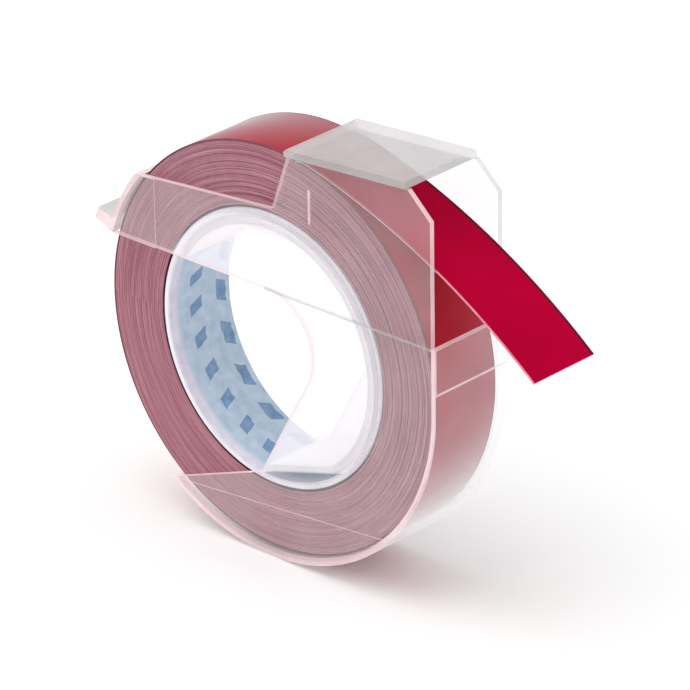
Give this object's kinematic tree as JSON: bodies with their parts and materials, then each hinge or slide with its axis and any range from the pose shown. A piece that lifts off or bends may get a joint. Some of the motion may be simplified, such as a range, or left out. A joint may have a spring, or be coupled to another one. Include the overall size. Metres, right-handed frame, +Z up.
{
  "type": "embossing tape cartridge",
  "caption": "Flat clear plastic cartridge holding a roll of red embossing tape, with a windowed side plate, a roofed exit and the tape's free end sticking out.",
  "frame": {"origin": "on the roll's axis, in the middle of the tape's width", "axes": "+X towards the exit of the tape, +Y along the roll's axis away from the cover plate, +Z up, towards the roof"},
  "size_m": [0.0596, 0.0109, 0.0478],
  "materials": {
    "clear_case": "clear moulded polystyrene, slightly milky",
    "clear_cover": "clear moulded polystyrene, slightly milky",
    "core": "white, satin",
    "printed_paper": "coated paper with a pale blue print",
    "wound_tape": "cut edges of wound tape, satin",
    "tape": "glossy red vinyl",
    "liner": "siliconed backing paper"
  },
  "bodies": {
    "cartridge": {"rear_shell": "clear_case", "front_plate": "clear_cover"},
    "roll": {"core_ring": "core", "printed_band": "printed_paper", "wound_tape": "wound_tape", "outer_turn": "tape"},
    "free_end": {"tape_end": "tape", "end_liner": "liner"}
  },
  "joints": [
    {"name": "roll_spin", "type": "hinge", "parent": "cartridge", "child": "roll", "pos_m": [0, 0, 0], "axis": [0, 1, 0], "range_deg": [0, 75.7]},
    {"name": "tape_feed", "type": "hinge", "parent": "cartridge", "child": "free_end", "pos_m": [-0.01341, 0, -0.05377], "axis": [0, 1, 0], "range_deg": [0, 22.1]}
  ],
  "couplings": [
    {"joint": "tape_feed", "follows": "roll_spin", "ratio": 0.29071}
  ]
}
